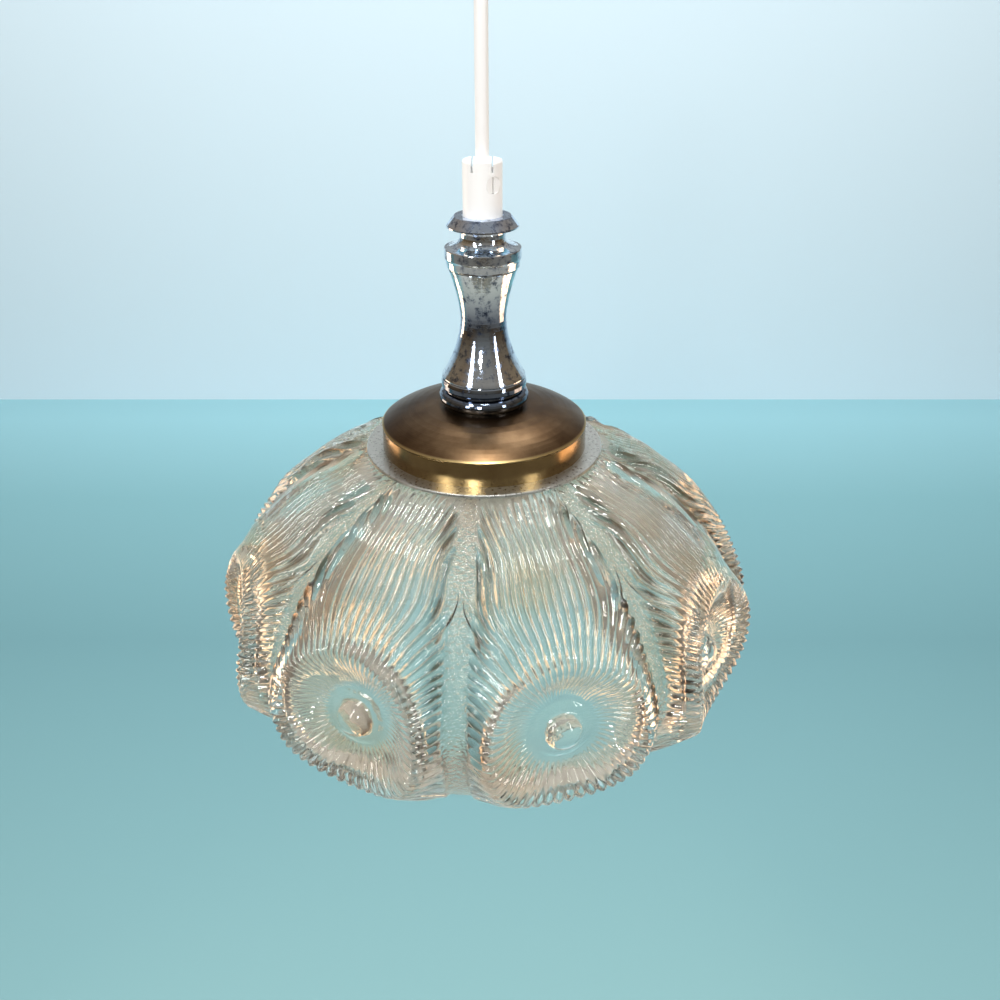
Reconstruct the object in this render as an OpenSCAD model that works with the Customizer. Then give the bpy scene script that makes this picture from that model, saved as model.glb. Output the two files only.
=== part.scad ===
// Pendant ceiling light: a flexible cord carries a turned chrome stem, a brass cap
// and a mould-blown glass shade with a ring of lobes, each with a round rosette.
// Millimetres, +Z up. The origin is on the ceiling, at the centre of the ceiling
// bracket, and the lamp hangs below it along -Z. Front is towards -Y.

/* [Hanging] */
// Drop from the ceiling to the top of the cord grip
drop = 126; // [122:1:160]
// Outer diameter of the flexible cord
flex_d = 5.2; // [4.8:0.1:5.6]

/* [Ceiling rose] */
// Diameter of the ceiling cup at the ceiling
cup_d = 76; // [74:1:84]
// Height of the ceiling cup
cup_h = 60; // [58:1:62]

/* [Stem] */
// Diameter of the stem at its waist
waist_d = 18.5; // [16:0.5:20]
// Diameter of the stem where it flares out at its foot
flare_d = 34.4; // [32:0.2:36]

/* [Cap and disc] */
// Diameter of the brass cap
cap_d = 86.2; // [84:0.2:90]
// Diameter of the metal disc under the cap
disc_d = 100; // [98:1:104]

/* [Shade] */
// Wall thickness of the glass
glass_wall = 4.2; // [3.6:0.2:4.6]
// Turn of the shade about its own axis, from a lobe facing the front
shade_turn = 17; // [0:1:45]

/* [Hidden] */
$fn = 64;

// Levels, all measured down from the ceiling through the top of the cord grip
grip_top = -drop;
collar_top = grip_top - 20.8;
collar_edge = collar_top - 4.2;
bead_top = collar_top - 6.4;
stem_top = bead_top - 14.2;
waist_z = stem_top - 20.6;
flare_z = waist_z - 24.4;
band_low = flare_z - 4.6;
cap_top = band_low - 7.6;
cap_low = cap_top - 18.4;
disc_low = cap_low - 1.4;
glass_top = disc_low - 0.8;

// Shared radii and small gaps
tube_r = 4.95;
tube_bore_r = 3.9;
stack_bore_r = 5.15;
core_r = 1.1;
holder_r = 20;
gap = 0.3;

// Colours
chrome = [0.78, 0.8, 0.83];
brass = [0.56, 0.42, 0.22];
white = [0.93, 0.93, 0.91];
steel = [0.66, 0.67, 0.68];
satin = [0.8, 0.83, 0.8];
clear = [0.8, 0.86, 0.82, 0.5];
bulb_clear = [0.9, 0.93, 0.93, 0.4];
black = [0.2, 0.2, 0.2];
rubber = [0.35, 0.3, 0.25];
core_brown = [0.35, 0.2, 0.12];
core_blue = [0.2, 0.35, 0.7];

// ---- Shared shapes ----

// Solid of revolution from a list of [radius, z] points
module turned(points) {
    rotate_extrude() polygon(points);
}

// Ring between two radii, from z_low up by h
module ring(r_out, r_in, z_low, h) {
    translate([0, 0, z_low]) difference() {
        cylinder(r = r_out, h = h);
        translate([0, 0, -1]) cylinder(r = r_in, h = h + 2);
    }
}

// Slotted cheese-head screw along +Z with the underside of its head at z = 0
module slotted_screw(shank_r, shank_l, head_r, head_h) {
    difference() {
        union() {
            cylinder(r = head_r, h = head_h);
            translate([0, 0, -shank_l]) cylinder(r = shank_r, h = shank_l + 0.1);
        }
        translate([-head_r, -0.4, head_h * 0.5]) cube([2 * head_r, 0.8, head_h]);
    }
}

// Unit vector
function unit(v) = v / max(norm(v), 1e-9);

// Direction of a route at point i
function heading(p, i) = unit(p[min(i + 1, len(p) - 1)] - p[max(i - 1, 0)]);

// One ring of a swept tube round point i
function tube_ring(p, i, r, sides) =
    let (d = heading(p, i), side = unit(cross(d, [0.31, 0.95, 0.05])), up = cross(side, d))
    [for (k = [0 : sides - 1])
        p[i] + r * (cos(360 * k / sides) * side + sin(360 * k / sides) * up)];

// Closed tube of radius r along the points of p
module swept_tube(p, r, sides) {
    last = len(p) - 1;
    rings = [for (i = [0 : last]) each tube_ring(p, i, r, sides)];
    walls = [for (i = [0 : last - 1], k = [0 : sides - 1])
        let (a = i * sides + k, b = i * sides + (k + 1) % sides)
        each [[a, b + sides, b], [a, a + sides, b + sides]]];
    foot = [for (k = [0 : sides - 1]) k];
    head = [for (k = [sides - 1 : -1 : 0]) last * sides + k];
    polyhedron(points = rings, faces = concat(walls, [foot, head]));
}

// ---- Ceiling rose ----

bracket_t = 2;
bracket_l = 64;
bracket_w = 18;
ear_drop = 13;
screw_hole_r = 2.25;
screw_spacing = 44;
cup_wall = 1.8;
side_screw_z = -8;
eye_r = 5;
eye_wire_r = 1.5;
eye_z = -9;
link_r = 5.5;
link_wire_r = 1.2;
outlet_r = 8;

// Flat steel bar against the ceiling, with an ear bent down at each end
module ceiling_bracket() {
    color(steel) difference() {
        union() {
            translate([-bracket_l / 2, -bracket_w / 2, -bracket_t])
                cube([bracket_l, bracket_w, bracket_t]);
            for (side = [-1, 1])
                translate([side * (bracket_l - bracket_t) / 2, 0, -ear_drop / 2])
                    cube([bracket_t, bracket_w, ear_drop], center = true);
        }
        for (side = [-1, 1]) {
            translate([side * screw_spacing / 2, 0, -bracket_t - 1])
                cylinder(r = screw_hole_r, h = bracket_t + 2);
            translate([side * bracket_l / 2, 0, side_screw_z]) rotate([0, 90, 0])
                cylinder(r = 1.6, h = 8, center = true);
        }
    }
}

// Steel eye welded under the middle of the bracket, in the XZ plane
module bracket_eye() {
    color(steel) translate([0, 0, eye_z]) rotate([90, 0, 0])
        rotate_extrude() translate([eye_r, 0]) circle(r = eye_wire_r);
    color(steel) translate([0, 0, -bracket_t - 2.4]) cylinder(r = 2.4, h = 2.4);
}

// White cup that hides the bracket, open at the ceiling, narrowing to a short neck
module ceiling_cup() {
    top_r = cup_d / 2;
    neck_r = 11.4;
    side_h = 8;
    neck_h = 6;
    function flank(t) = [neck_r + (top_r - neck_r) * pow(cos(t), 0.8),
        -side_h - (cup_h - side_h - neck_h) * pow(sin(t), 1.3)];
    outer = concat([[top_r, 0]], [for (t = [0 : 9 : 81]) flank(t)],
        [[neck_r, -cup_h + 4], [neck_r, -cup_h]]);
    last = len(outer) - 1;
    inner = [for (i = [last : -1 : 0])
        [max(outer[i][0] - cup_wall, outlet_r + 2.2), min(0, outer[i][1] + (i == last ? 0 : 1.2))]];
    color(white) difference() {
        turned(concat(outer, inner));
        for (side = [-1, 1])
            translate([side * top_r, 0, side_screw_z]) rotate([0, 90, 0])
                cylinder(r = 1.7, h = 12, center = true);
    }
}

// Two screws that hold the cup to the bracket's ears
module cup_screws() {
    color(chrome) for (side = [0, 180])
        rotate([0, 0, side]) translate([cup_d / 2 + 0.1, 0, side_screw_z]) rotate([0, 90, 0])
            slotted_screw(1.45, cup_d / 2 - bracket_l / 2 + 3, 3, 1.8);
}

// Bush with a rounded flange that lines the cup's outlet
module cup_bush() {
    low = -cup_h - 3;
    color(white) turned([[outlet_r, low + 1], [outlet_r + 0.6, low], [outlet_r + 2.4, low],
        [outlet_r + 3.2, low + 1], [outlet_r + 3.2, -cup_h], [outlet_r + 2.1, -cup_h],
        [outlet_r + 2.1, -cup_h + 6], [outlet_r, -cup_h + 6]]);
}

// ---- Hanger ----

link_top_z = eye_z - eye_r + eye_wire_r + link_wire_r + gap;
link_z = link_top_z - link_r;
clip_ring_r = 5;
clip_ring_top_z = link_z - link_r + link_wire_r + eye_wire_r + gap;
clip_ring_z = clip_ring_top_z - clip_ring_r;
clip_top = clip_ring_z - clip_ring_r;
clip_low = clip_top - 18;
flex_end = clip_top - 8;

// Chain link in the YZ plane, hanging in the bracket's eye
module chain_link() {
    color(steel) translate([0, 0, link_z]) rotate([0, 90, 0])
        rotate_extrude() translate([link_r, 0]) circle(r = link_wire_r);
}

// Moulded clip that grips the end of the flex, with a ring that hangs in the link
module suspension_clip() {
    color(white) difference() {
        union() {
            translate([0, 0, clip_low]) cylinder(r = 6.5, h = 18);
            translate([0, 0, clip_ring_z]) rotate([90, 0, 0])
                rotate_extrude() translate([clip_ring_r, 0]) circle(r = eye_wire_r);
        }
        translate([0, 0, clip_low - 1]) cylinder(r = flex_d / 2 + 0.02, h = flex_end - clip_low + 1);
        translate([0, -2.6, flex_end - 0.01]) cube([10, 5.2, 3.6]);
        translate([0, 0, flex_end - 0.01]) cylinder(r = 2.6, h = 3.6);
        translate([0, 0, clip_low + 4]) rotate([90, 0, 0]) cylinder(r = 1.55, h = 8);
    }
}

// Screw in the front of the clip that bites on the flex
module clip_screw() {
    color(steel) translate([0, -6.6, clip_low + 4]) rotate([90, 0, 0])
        slotted_screw(1.5, 3.9, 2.6, 1.6);
}

block_x = 12;
block_top = -13;
block_size = [11, 15, 13];

// Two-pole terminal block on the ends of the flex's cores
module terminal_block() {
    color(white) translate([block_x, -block_size[1] / 2, block_top - block_size[2]]) difference() {
        cube(block_size);
        for (y = [3.8, 11.2]) {
            translate([5.5, y, -1]) cylinder(r = 1.6, h = block_size[2] + 2);
            for (z = [3.5, 9.5])
                translate([5.5, y, z]) rotate([0, 90, 0]) cylinder(r = 1.55, h = 7);
        }
    }
}

// Four screws of the terminal block
module block_screws() {
    color(brass) for (y = [-3.7, 3.7], z = [3.5, 9.5])
        translate([block_x + 9.4, y, block_top - block_size[2] + z]) rotate([0, 90, 0]) difference() {
            translate([0, 0, -2]) cylinder(r = 1.5, h = 3.4);
            translate([-2, -0.3, 0.7]) cube([4, 0.6, 2]);
        }
}

// Bare cores from the end of the flex, through the clip's window, up to the block
module block_cores() {
    for (side = [-1, 1]) {
        route = [[1.2, side * 1.25, flex_end], [1.2, side * 1.25, flex_end + 0.6],
            [1.9, side * 1.25, flex_end + 1.5], [4.6, side * 1.25, flex_end + 1.8],
            [8.4, side * 1.4, flex_end + 1.8], [12.5, side * 2.4, flex_end + 3],
            [16, side * 3.4, flex_end + 6], [17.4, side * 3.7, flex_end + 9],
            [17.5, side * 3.7, block_top - block_size[2] + 3]];
        color(side < 0 ? core_brown : core_blue) swept_tube(route, core_r, 8);
    }
}

// ---- Flex ----

// Route of the flex, straight down the axis from the clip into the cord grip
flex_low = grip_top - 13;
flex_levels = [flex_end, -42, -48, -54, -60, -66, -72, -79, -86, -93, -100, -107, -112,
    grip_top + 6, grip_top, grip_top - 6, flex_low];
flex_route = [for (z = flex_levels) [0, 0, z]];

// Round flexible cord
module flex() {
    color(white) swept_tube(flex_route, flex_d / 2, 10);
}

// ---- Cord grip ----

grip_r = 7.7;
grip_low = collar_top - 5;
jaw_w = 7;
grip_screw_z = grip_top - 8.5;
grip_screw_turn = 35;

// Tube that screws on to the threaded tube and holds the flex
module grip_body() {
    color(white) difference() {
        turned([[0, grip_low], [grip_r, grip_low], [grip_r, grip_top - 0.8], [grip_r - 0.3, grip_top - 0.2],
            [grip_r - 0.9, grip_top], [0, grip_top]]);
        translate([0, 0, grip_low - 1]) cylinder(r = tube_r + 0.03, h = grip_top - 13 - grip_low + 1);
        translate([0, 0, flex_low - 0.5]) cylinder(r = flex_d / 2 + 0.05, h = 20);
        translate([-jaw_w / 2 - 0.7, -9, grip_top - 4]) cube([jaw_w + 1.4, 18, 5]);
        rotate([0, 0, grip_screw_turn]) translate([0, 0, grip_screw_z]) rotate([90, 0, 0])
            cylinder(r = 3.2, h = 9);
    }
}

// Clamp jaw, a bar across the top slot with the flex through its middle
module grip_jaw() {
    color(white) difference() {
        translate([0, 0, grip_top - 4]) intersection() {
            cylinder(r = grip_r - 0.1, h = 3.7);
            translate([-jaw_w / 2, -9, 0]) cube([jaw_w, 18, 3.7]);
        }
        translate([0, 0, grip_top - 5]) cylinder(r = flex_d / 2 + 0.05, h = 6);
    }
}

// Flush grub screw that presses on the flex
module grip_screw() {
    color(white) rotate([0, 0, grip_screw_turn]) translate([0, 0, grip_screw_z]) rotate([90, 0, 0])
        difference() {
            translate([0, 0, flex_d / 2 + 0.1]) cylinder(r = 3.15, h = 4.6);
            translate([-0.4, -4, flex_d / 2 + 3.6]) cube([0.8, 8, 3]);
        }
}

// ---- Turned chrome stack on the threaded tube ----

// Cone-shaped collar that the cord grip stands in
module stem_collar() {
    color(chrome) turned([[stack_bore_r, bead_top], [9, bead_top], [9.2, bead_top + 0.7],
        [13.8, collar_edge - 0.2], [14.2, collar_edge], [14.2, collar_edge + 0.5],
        [11.3, collar_top - 0.2], [11, collar_top], [8.1, collar_top],
        [grip_r + 0.05, collar_top - 0.3], [grip_r + 0.05, grip_low], [stack_bore_r, grip_low]]);
}

// Neck that sweeps out in a cove to a rounded bead
module stem_bead() {
    cove = [for (t = [0 : 10 : 90]) [9 + 6.1 * (1 - cos(t)), bead_top - 1.6 - 4.4 * sin(t)]];
    band = [[15.3, bead_top - 6.3], [15.3, bead_top - 9.6], [14.9, bead_top - 10.5],
        [14.5, bead_top - 13.2], [14.2, bead_top - 13.6], [13.7, bead_top - 13.7], [13.7, stem_top]];
    color(chrome) turned(concat([[stack_bore_r, stem_top], [stack_bore_r, bead_top], [9, bead_top]],
        cove, band));
}

// Waisted stem: its radius grows away from the waist as a power of the distance
module stem_waist() {
    waist_r = waist_d / 2;
    top_r = 13.9;
    flare_r = flare_d / 2;
    upper = [for (i = [0 : 11]) let (t = 1 - i / 12)
        [waist_r + (top_r - waist_r) * pow(t, 1.6), waist_z + (stem_top - waist_z) * t]];
    lower = [for (i = [0 : 14]) let (t = i / 14)
        [waist_r + (flare_r - waist_r) * pow(t, 1.8), waist_z + (flare_z + 0.6 - waist_z) * t]];
    color(chrome) turned(concat([[stack_bore_r, flare_z], [stack_bore_r, stem_top]], upper, lower,
        [[flare_r, flare_z + 0.2], [flare_r - 0.2, flare_z]]));
}

// Plain band under the flare
module foot_band() {
    color(chrome) turned([[stack_bore_r, band_low], [stack_bore_r, flare_z], [16.7, flare_z],
        [17.3, flare_z - 0.6], [17.6, flare_z - 2], [17.6, flare_z - 3.6], [17.2, flare_z - 4.3],
        [16.8, band_low]]);
}

// Rounded ring that stands on the brass cap
module base_ring() {
    mid = (band_low + cap_top) / 2 - 0.3;
    round_edge = [for (t = [75 : -15 : -75]) [15.2 + 3.45 * cos(t), mid + 3.2 * sin(t)]];
    color(chrome) turned(concat([[stack_bore_r, cap_top], [stack_bore_r, band_low], [15.9, band_low]],
        round_edge, [[16, cap_top]]));
}

// Threaded tube that holds the whole stack together
module threaded_tube() {
    tube_low = cap_top - 13.5;
    color(steel) ring(tube_r, tube_bore_r, tube_low, grip_top - 14 - tube_low);
}

// ---- Cap and disc ----

cap_r = cap_d / 2;
cap_wall = 1;
cap_rim_z = cap_top - 7.7;

// Height of the domed top of the brass cap at radius r
function dome_z(r) = cap_top - 7.7 * pow(r / (cap_r - 0.5), 4);

// Spun brass cap, a shallow dome with a straight side
module brass_cap() {
    steps = [stack_bore_r, 14, 20, 25, 29, 32, 35, 37.5, 39.5, 41];
    outer = [for (r = steps) [r, dome_z(r)]];
    inner = [for (i = [len(steps) - 1 : -1 : 0]) [steps[i], dome_z(steps[i]) - cap_wall]];
    color(brass) turned(concat(outer, [[cap_r - 0.5, cap_rim_z], [cap_r, cap_rim_z - 0.4],
        [cap_r - 0.15, cap_rim_z - 1.2], [cap_r, cap_low], [cap_r - cap_wall, cap_low],
        [cap_r - cap_wall, cap_rim_z - 1.4]], inner));
}

// Washer between the brass cap and the lock nut
module cap_washer() {
    color(steel) ring(10, stack_bore_r, cap_top - cap_wall - 1.2, 1);
}

// Hexagon nut that clamps the stack on the threaded tube
module lock_nut() {
    color(steel) translate([0, 0, cap_top - cap_wall - 4.4]) difference() {
        cylinder(r = 8, h = 3.2, $fn = 6);
        translate([0, 0, -1]) cylinder(r = tube_r + 0.02, h = 6);
    }
}

// Flat satin disc under the brass cap
module metal_disc() {
    edge_r = disc_d / 2;
    hole_r = holder_r + 0.4;
    color(satin) turned([[hole_r, cap_low], [edge_r - 0.3, cap_low], [edge_r, cap_low - 0.3],
        [edge_r, disc_low + 0.2], [edge_r - 0.2, disc_low], [hole_r, disc_low]]);
}

// Soft ring between the disc and the glass
module glass_gasket() {
    color(rubber) ring(46, 23, glass_top, disc_low - glass_top);
}

// ---- Lampholder ----

holder_top = cap_top - 6.2;
flange_r = 24;
skirt_low = glass_top - 38;
insert_top = glass_top + 1.5;
insert_low = glass_top - 7;
shell_low = glass_top - 34;

// Domed upper part of the lampholder, screwed to the threaded tube
module holder_cap() {
    dome = [for (t = [0 : 15 : 90]) [9.5 + 9.7 * sin(t), holder_top - 8 + 8 * cos(t)]];
    hollow = [for (t = [90 : -15 : 0]) [8.5 + 8.7 * sin(t), holder_top - 9.8 + 7.8 * cos(t)]];
    flange = [[19.2, cap_low + 1.6], [flange_r, cap_low + 1.6], [flange_r, cap_low + 0.1],
        [17.2, cap_low + 0.1]];
    color(white) turned(concat([[tube_r + 0.02, holder_top]], dome, flange, hollow,
        [[tube_r + 0.02, holder_top - 2]]));
}

// Ceramic insert that carries the contacts
module holder_insert() {
    color(white) difference() {
        translate([0, 0, insert_low]) cylinder(r = 17, h = insert_top - insert_low);
        for (side = [-1, 1])
            translate([side * 9, 0, insert_low - 1]) cylinder(r = 1.35, h = 12);
        translate([0, 0, insert_low - 1]) cylinder(r = 1.2, h = 12);
    }
}

// Springy centre contact and side contact under the insert
module holder_contacts() {
    tip_z = insert_low - 3.2;
    color(brass) {
        translate([0, 0, insert_low - 2.2]) cylinder(r = 1.1, h = 6);
        translate([0, 0, tip_z]) cylinder(r = 3.4, h = 1);
        translate([9, -2, insert_low - 0.8]) cube([5.2, 4, 0.8]);
        translate([13.9, -2, insert_low - 4]) cube([0.5, 4, 4]);
    }
}

// Two terminal screws on the top of the insert
module holder_screws() {
    color(steel) for (side = [-1, 1])
        translate([side * 9, 0, insert_top]) slotted_screw(1.3, 5, 2.5, 1.8);
}

// Threaded metal shell that takes the bulb's cap
module screw_shell() {
    color(brass) ring(13.85, 13.35, shell_low, insert_low - 1 - shell_low);
}

// Outer skirt of the lampholder, through the disc and the neck of the glass
module holder_skirt() {
    color(white) ring(holder_r - 0.1, 17.2, skirt_low, cap_low + 0.1 - skirt_low);
}

// Ring that screws up the skirt and holds the glass
module shade_ring() {
    ring_top = glass_top - glass_wall - 0.2;
    color(white) difference() {
        turned([[holder_r, ring_top], [30, ring_top], [30, ring_top - 2.2], [26, ring_top - 3.4],
            [25, ring_top - 8], [holder_r, ring_top - 8]]);
        for (a = [0 : 30 : 330])
            rotate([0, 0, a]) translate([25.9, 0, ring_top - 9]) cylinder(r = 1.3, h = 5.2);
    }
}

// The two cores of the flex, down the threaded tube to the terminal screws
module lamp_cores() {
    for (side = [-1, 1]) {
        route = [[side * 1.25, 0, flex_low], [side * 1.25, 0, flex_low - 2], [side * 1.4, 0, flex_low - 8],
            [side * 1.4, 0, waist_z], [side * 1.4, 0, cap_top - 8], [side * 1.6, 0, cap_top - 13],
            [side * 4, 0, cap_top - 15.4], [side * 5, 0.6, insert_top + 1.4],
            [side * 5.3, 0.8, insert_top + 1.2]];
        color(side < 0 ? core_brown : core_blue) swept_tube(route, core_r, 8);
    }
}

// ---- Glass shade ----

lobe_count = 8;
lobe_pitch = 360 / lobe_count;
lobe_half = lobe_pitch / 2;
valley_half = 2.4;
rosette_z = -72;
rosette_r = 33;
bowl_depth = 14;
bowl_run = 19;
boss_r = 8;
boss_h = 5;
face_r = 43;
face_edge = 10;
face_bow = 3.5;

// Outer profile along a valley, and along the middle of a lobe under its rosette:
// [radius, height from the top face], from the neck's hole down to the bottom rim
valley_line = [[21.5, 0], [34, 0], [46, 0], [52, -3], [61, -9], [71, -14.5], [80, -21.5], [87, -28.5],
    [94, -37.5], [99, -46], [103, -54], [106, -63], [107.5, -72], [107.3, -82], [105, -92], [100.5, -102],
    [94, -110.5], [86.5, -117.3], [80.5, -122]];
lobe_line = [[21.5, 0], [34, 0], [46, 0], [53, -2], [62, -6.5], [72, -10.5], [81, -16], [90, -23.5],
    [99.5, -31.5], [106, -41], [111.5, -51.5], [115, -62], [117, -72], [117.2, -82], [114.8, -92],
    [109, -102], [100.2, -110], [89.2, -116.5], [80.5, -122]];

// Places along the profiles where the mesh has a ring, outside and inside
outer_rows = [0, 2, 2.7, 3.4, 4.2, 5, 6, 6.8, 7.5, 8, 8.5, 9, 9.5, 10, 10.5, 11, 11.5, 12, 12.5, 13, 13.5,
    14, 14.5, 15, 15.6, 16.3, 17.1, 18];
inner_rows = [0, 2, 3.2, 4.5, 6, 7.5, 9, 10.2, 11.1, 12, 12.9, 13.8, 15, 16.4, 18];

// Angles off the middle of a lobe where the mesh has a point
lobe_steps = [-22.5, -20.2, -18.2, -15.8, -12, -7.5, -3.5, 0, 3.5, 7.5, 12, 15.8, 18.2, 20.2];

// Smooth curve through a list of points, at place s counted in points
function curve(p, s) =
    let (n = len(p) - 1, i = min(max(floor(s), 0), n - 1), f = s - i,
        a = p[max(i - 1, 0)], b = p[i], c = p[i + 1], d = p[min(i + 2, n)])
    0.5 * (2 * b + (c - a) * f + (2 * a - 5 * b + 4 * c - d) * f * f + (3 * b - a - 3 * c + d) * f * f * f);

// The same curve moved inward by inset, and kept from rising above the top face
function inset_curve(p, s, inset) =
    let (d = unit(curve(p, s + 0.02) - curve(p, s - 0.02)), q = curve(p, s))
    [q[0] + inset * d[1], min(q[1], 0) - inset * d[0]];

// Step from 0 to 1 with soft ends
function smooth(x) = let (t = min(max(x, 0), 1)) t * t * (3 - 2 * t);

// How much of the lobe shows at an angle off its middle: a low arch from valley to valley
function lobe_share(off, inset) =
    let (edge = lobe_half - valley_half - inset * 0.4)
    sin(90 * min(max((edge - abs(off)) / edge * 1.7, 0), 1));

// Bowl of the rosette at distance q from its centre, with a small boss on the outside only
function rosette(q, inset) =
    let (bowl = -bowl_depth * smooth((rosette_r + inset * 0.7 - q) / (bowl_run + inset * 0.5)))
    inset > 0 ? bowl : bowl + boss_h * max(0, 1 - pow(q / boss_r, 2));

// Point on the glass at place s, off degrees from the middle of the lobe at angle mid.
// Round the rosette the lobe is nearly flat from side to side, and falls to the valleys.
function glass_point(s, off, mid, inset) =
    let (v = inset_curve(valley_line, s, inset), l = inset_curve(lobe_line, s, inset),
        p = v + lobe_share(off, inset) * (l - v), r = p[0], z = p[1], y = z - rosette_z,
        across = r * sin(off), front = r * cos(off), q = norm([across, y]),
        face = l[0] - face_bow * pow(across / 31, 2),
        on_face = smooth((face_r - inset * 0.5 - q) / face_edge),
        lift = on_face * (face - front) + rosette(q, inset), a = mid + off)
    [r * cos(a) + lift * cos(mid), r * sin(a) + lift * sin(mid), z];

// Rings of points on one side of the glass
function glass_side(rows, inset) = [for (s = rows) each [for (m = [0 : lobe_count - 1], off = lobe_steps)
    glass_point(s, off, m * lobe_pitch - 90 + shade_turn, inset)]];

// Two triangles for each square between the rings of one side
function side_faces(ring_count, n, first) = [for (i = [0 : ring_count - 2], k = [0 : n - 1])
    let (a = first + i * n + k, b = first + i * n + (k + 1) % n)
    each [[a, b, b + n], [a, b + n, a + n]]];

// Blown glass shade, open at the neck for the lampholder and open below
module glass_shade() {
    n = lobe_count * len(lobe_steps);
    outside = glass_side(outer_rows, 0);
    inside = glass_side(inner_rows, glass_wall);
    first = len(outside);
    low = first - n;
    inner_low = first + len(inside) - n;
    outer_faces = side_faces(len(outer_rows), n, 0);
    inner_faces = [for (f = side_faces(len(inner_rows), n, first)) [f[2], f[1], f[0]]];
    rims = [for (k = [0 : n - 1])
        let (j = (k + 1) % n)
        each [[k, first + k, first + j], [k, first + j, j],
            [low + k, low + j, inner_low + j], [low + k, inner_low + j, inner_low + k]]];
    color(clear) translate([0, 0, glass_top])
        polyhedron(points = concat(outside, inside), faces = concat(outer_faces, inner_faces, rims));
}

// ---- Bulb ----

bulb_top = insert_low - 4.8;
bulb_cap_l = 25;
globe_r = 22.5;
globe_z = bulb_top - 55.5;

// Clear round bulb, open inside, with a neck that enters the cap
module bulb_glass() {
    neck_z = bulb_top - bulb_cap_l + 4;
    neck_r = 12.2;
    bulb_wall = 0.8;
    steps = 16;
    start = asin(neck_r / globe_r) + 6;
    function shell(r, i) = let (a = start + (180 - start) * i / steps) [r * sin(a), globe_z + r * cos(a)];
    outer = [for (i = [0 : steps]) shell(globe_r, i)];
    inner = [for (i = [steps : -1 : 0]) shell(globe_r - bulb_wall, i)];
    color(bulb_clear) turned(concat([[neck_r, neck_z], [neck_r, globe_z + 24]], outer, inner,
        [[neck_r - bulb_wall, globe_z + 24], [neck_r - bulb_wall, neck_z]]));
}

// Screw cap of the bulb, with rounded threads
module bulb_cap() {
    thread_pitch = 3.6;
    turns = [for (i = [0 : 40]) let (z = i * 0.45)
        [12.6 + 0.4 * cos(360 * z / thread_pitch), bulb_top - 4.4 - z]];
    color(steel) turned(concat([[5.4, bulb_top], [8, bulb_top - 1.2], [11.6, bulb_top - 3.6]], turns,
        [[13, bulb_top - bulb_cap_l], [12.25, bulb_top - bulb_cap_l], [12.25, bulb_top - 4.6],
            [11, bulb_top - 4.2], [7.6, bulb_top - 2], [5.4, bulb_top - 0.8]]));
}

// Tip contact on its insulating disc
module bulb_contact() {
    color(black) translate([0, 0, bulb_top - 0.8]) cylinder(r = 5.35, h = 1);
    color(steel) translate([0, 0, bulb_top + 0.2]) cylinder(r1 = 3.6, r2 = 2.6, h = 1);
}

// Glass stem inside the bulb
module bulb_stem() {
    foot = bulb_top - bulb_cap_l + 5;
    color(bulb_clear) translate([0, 0, globe_z + 12])
        cylinder(r1 = 2, r2 = 4.4, h = foot - globe_z - 12);
}

// Bent wire that stands in the stem and carries the arc of filament
module bulb_filament() {
    arc = [for (t = [0 : 15 : 180]) [9 * cos(t), 3 * sin(t), globe_z - 2 - 2.5 * sin(t)]];
    right = [[1.2, 0, globe_z + 12], [1.2, 0, globe_z + 10.5], [2.4, 0, globe_z + 8], [8, 0, globe_z + 2]];
    left = [for (i = [3 : -1 : 0]) [-right[i][0], 0, right[i][2]]];
    color(steel) swept_tube(concat(right, arc, left), 0.4, 8);
}

ceiling_bracket();
bracket_eye();
ceiling_cup();
cup_screws();
cup_bush();
chain_link();
suspension_clip();
clip_screw();
terminal_block();
block_screws();
block_cores();
flex();
grip_body();
grip_jaw();
grip_screw();
stem_collar();
stem_bead();
stem_waist();
foot_band();
base_ring();
threaded_tube();
brass_cap();
cap_washer();
lock_nut();
lamp_cores();
holder_cap();
holder_insert();
holder_contacts();
holder_screws();
screw_shell();
holder_skirt();
shade_ring();
metal_disc();
glass_gasket();
glass_shade();
bulb_glass();
bulb_cap();
bulb_contact();
bulb_stem();
bulb_filament();
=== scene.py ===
# Looks of the pendant ceiling light. Metres, +Z up, origin on the ceiling at the
# centre of the ceiling bracket, the same frame as the CAD model.
import math

import bpy
import numpy as np
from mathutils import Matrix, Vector


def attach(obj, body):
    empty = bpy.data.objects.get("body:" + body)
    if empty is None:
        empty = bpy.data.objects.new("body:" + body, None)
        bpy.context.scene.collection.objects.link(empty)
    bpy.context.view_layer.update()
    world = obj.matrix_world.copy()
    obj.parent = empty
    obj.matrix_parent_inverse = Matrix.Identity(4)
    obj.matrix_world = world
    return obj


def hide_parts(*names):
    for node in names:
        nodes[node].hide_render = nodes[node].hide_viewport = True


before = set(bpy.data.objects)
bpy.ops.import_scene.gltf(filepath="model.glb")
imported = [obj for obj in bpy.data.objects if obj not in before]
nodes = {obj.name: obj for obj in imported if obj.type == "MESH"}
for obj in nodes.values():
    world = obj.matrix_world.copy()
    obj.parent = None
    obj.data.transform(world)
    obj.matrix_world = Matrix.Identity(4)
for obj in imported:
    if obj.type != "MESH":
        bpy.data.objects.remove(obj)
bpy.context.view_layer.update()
MM = 0.001


# ---- Small helpers ----

def smooth(x):
    """Step from 0 to 1 with soft ends."""
    t = np.clip(x, 0.0, 1.0)
    return t * t * (3.0 - 2.0 * t)


def bell(x, width):
    """Rounded bump of height 1 at x = 0."""
    return np.exp(-((x / width) ** 2))


def new_object(name, data):
    piece = bpy.data.objects.new(name, data)
    bpy.context.scene.collection.objects.link(piece)
    return piece


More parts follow.
